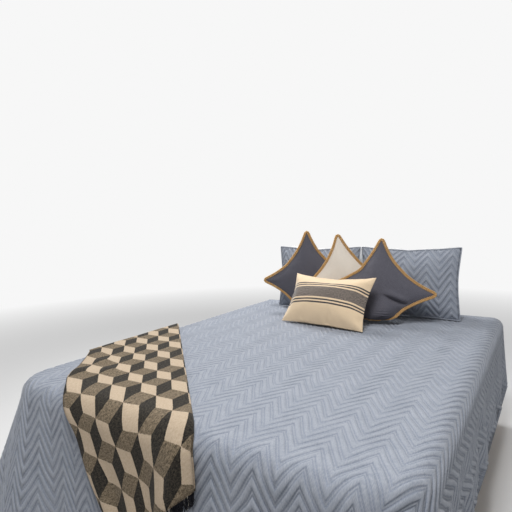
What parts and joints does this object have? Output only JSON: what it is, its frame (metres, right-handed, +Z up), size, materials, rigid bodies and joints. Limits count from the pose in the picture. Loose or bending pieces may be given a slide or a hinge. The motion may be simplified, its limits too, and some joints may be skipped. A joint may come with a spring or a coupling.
{
  "type": "dressed bed",
  "caption": "Bed on a slatted timber frame, dressed with a chevron-quilted coverlet, shams, rope-trimmed cushions and a folded throw laid across the foot.",
  "frame": {"origin": "on the floor, under the centre of the dressed bed's bounding box", "axes": "+Z up, +Y towards the head of the bed, +X to the right of someone who looks from the foot to the head"},
  "size_m": [1.776, 2.0352, 1.1105],
  "materials": {
    "frame_timber": "oiled pine",
    "deck_timber": "bare planed pine",
    "mattress_cover": "white knitted cover, quilted",
    "quilted_cotton": "grey-blue cotton, quilted in chevrons",
    "white_cotton": "white cotton",
    "cream_linen": "off-white linen weave",
    "grey_linen": "slate grey linen weave",
    "jute_rope": "braided jute",
    "striped_cotton": "cream cotton with charcoal stripes",
    "woven_wool": "cream, taupe and charcoal wool in tumbling blocks",
    "wool_fringe": "black and white wool eyelash fringe"
  },
  "bodies": {
    "root": {"side_rail_left": "frame_timber", "side_rail_right": "frame_timber", "head_rail": "frame_timber", "foot_rail": "frame_timber", "leg_head_left": "frame_timber", "leg_head_right": "frame_timber", "leg_foot_left": "frame_timber", "leg_foot_right": "frame_timber", "ledge_left": "deck_timber", "ledge_right": "deck_timber", "middle_beam": "deck_timber", "middle_leg_head": "frame_timber", "middle_leg_foot": "frame_timber", "slat_01": "deck_timber", "slat_02": "deck_timber", "slat_03": "deck_timber", "slat_04": "deck_timber", "slat_05": "deck_timber", "slat_06": "deck_timber", "slat_07": "deck_timber", "slat_08": "deck_timber", "slat_09": "deck_timber", "slat_10": "deck_timber", "slat_11": "deck_timber", "slat_12": "deck_timber", "mattress": "mattress_cover", "coverlet": "quilted_cotton", "pillow_left": "white_cotton", "pillow_right": "white_cotton", "sham_left": "quilted_cotton", "sham_right": "quilted_cotton", "cushion_grey_left": "grey_linen", "cushion_white": "cream_linen", "cushion_grey_right": "grey_linen", "trim_grey_left": "jute_rope", "trim_white": "jute_rope", "trim_grey_right": "jute_rope", "cushion_lumbar": "striped_cotton", "throw": "woven_wool", "throw_fringe": "wool_fringe"}
  },
  "joints": []
}
